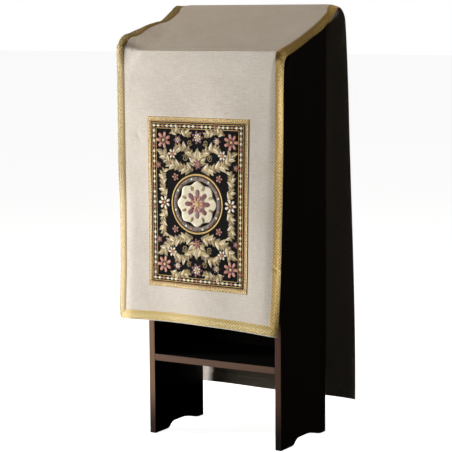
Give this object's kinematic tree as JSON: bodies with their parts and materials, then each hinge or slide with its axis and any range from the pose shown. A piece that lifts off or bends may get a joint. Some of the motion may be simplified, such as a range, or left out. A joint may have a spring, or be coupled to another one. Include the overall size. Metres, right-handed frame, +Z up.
{
  "type": "pulpit fall on a lectern",
  "caption": "Cream pulpit fall with a gold braid border and a framed panel, draped over the sloping desk of a dark wooden lectern: a short fall in front, a long one behind.",
  "frame": {"origin": "middle of the footprint of cloth and lectern together, on the floor", "axes": "+Z up, -Y the way the front fall and its panel face, +X to the right of someone who faces the panel"},
  "size_m": [0.547, 0.3548, 1.1541],
  "materials": {
    "linen": "cream slubbed plain weave, matt",
    "braid": "gold metallic-thread braid",
    "frame": "old-gold braid with red flecks",
    "panel": "dark stitched panel",
    "wood": "near-black stained board, satin"
  },
  "bodies": {
    "root": {"cloth": "linen", "braid_left": "braid", "braid_right": "braid", "braid_front_hem": "braid", "braid_back_hem": "braid", "picture_panel": "panel", "frame_foot": "frame", "frame_top": "frame", "frame_left": "frame", "frame_right": "frame", "side_board_left": "wood", "side_board_right": "wood", "shelf": "wood", "back_panel": "wood", "desk_board": "wood"}
  },
  "joints": []
}
